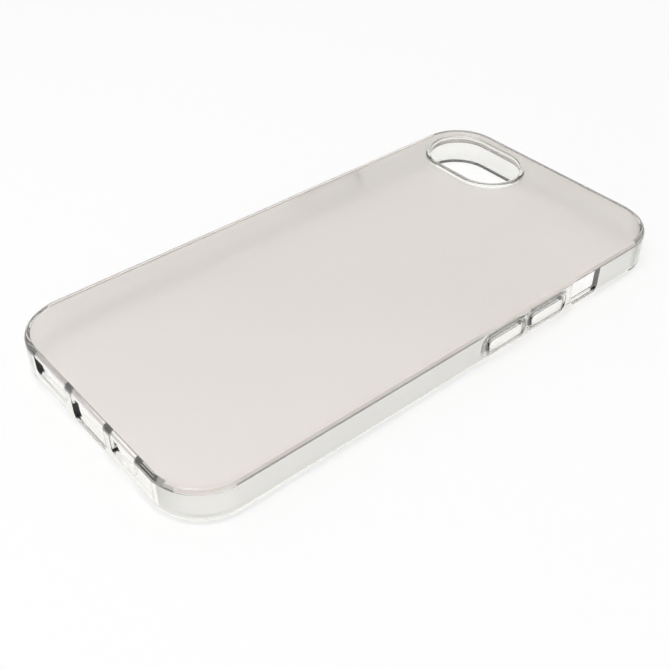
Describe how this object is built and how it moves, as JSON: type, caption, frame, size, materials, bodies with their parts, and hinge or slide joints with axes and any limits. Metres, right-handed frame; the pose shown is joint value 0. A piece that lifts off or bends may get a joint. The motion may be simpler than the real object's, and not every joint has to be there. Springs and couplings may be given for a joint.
{
  "type": "phone case",
  "caption": "Clear phone case: hard back panel in a soft bumper frame, with a raised camera ring, sprung side-button pads and cut-outs for port, speaker and switch.",
  "frame": {"origin": "middle of the base: the plane of the front lip's rim, halfway along the length and the width", "axes": "+Z from the open screen side towards the back panel, +Y towards the camera end, +X towards the flank with the volume buttons"},
  "size_m": [0.076, 0.1498, 0.011],
  "materials": {
    "clear_polycarbonate": "hard clear polycarbonate, mirror-polished mould, faint warm tint",
    "clear_tpu": "soft clear thermoplastic polyurethane, glossy, faintly hazy"
  },
  "bodies": {
    "case": {"back_panel": "clear_polycarbonate", "bumper_frame": "clear_tpu", "camera_ring": "clear_tpu", "volume_up_web": "clear_tpu", "volume_down_web": "clear_tpu", "power_web": "clear_tpu"},
    "volume_up": {"volume_up_button": "clear_tpu"},
    "volume_down": {"volume_down_button": "clear_tpu"},
    "power": {"power_button": "clear_tpu"}
  },
  "joints": [
    {"name": "volume_up_press", "type": "slide", "parent": "case", "child": "volume_up", "axis": [-1, 0, 0], "range_m": [0, 0.00035], "stiffness_N_per_m": 6000},
    {"name": "volume_down_press", "type": "slide", "parent": "case", "child": "volume_down", "axis": [-1, 0, 0], "range_m": [0, 0.00035], "stiffness_N_per_m": 6000},
    {"name": "power_press", "type": "slide", "parent": "case", "child": "power", "axis": [1, 0, 0], "range_m": [0, 0.00035], "stiffness_N_per_m": 6000}
  ]
}
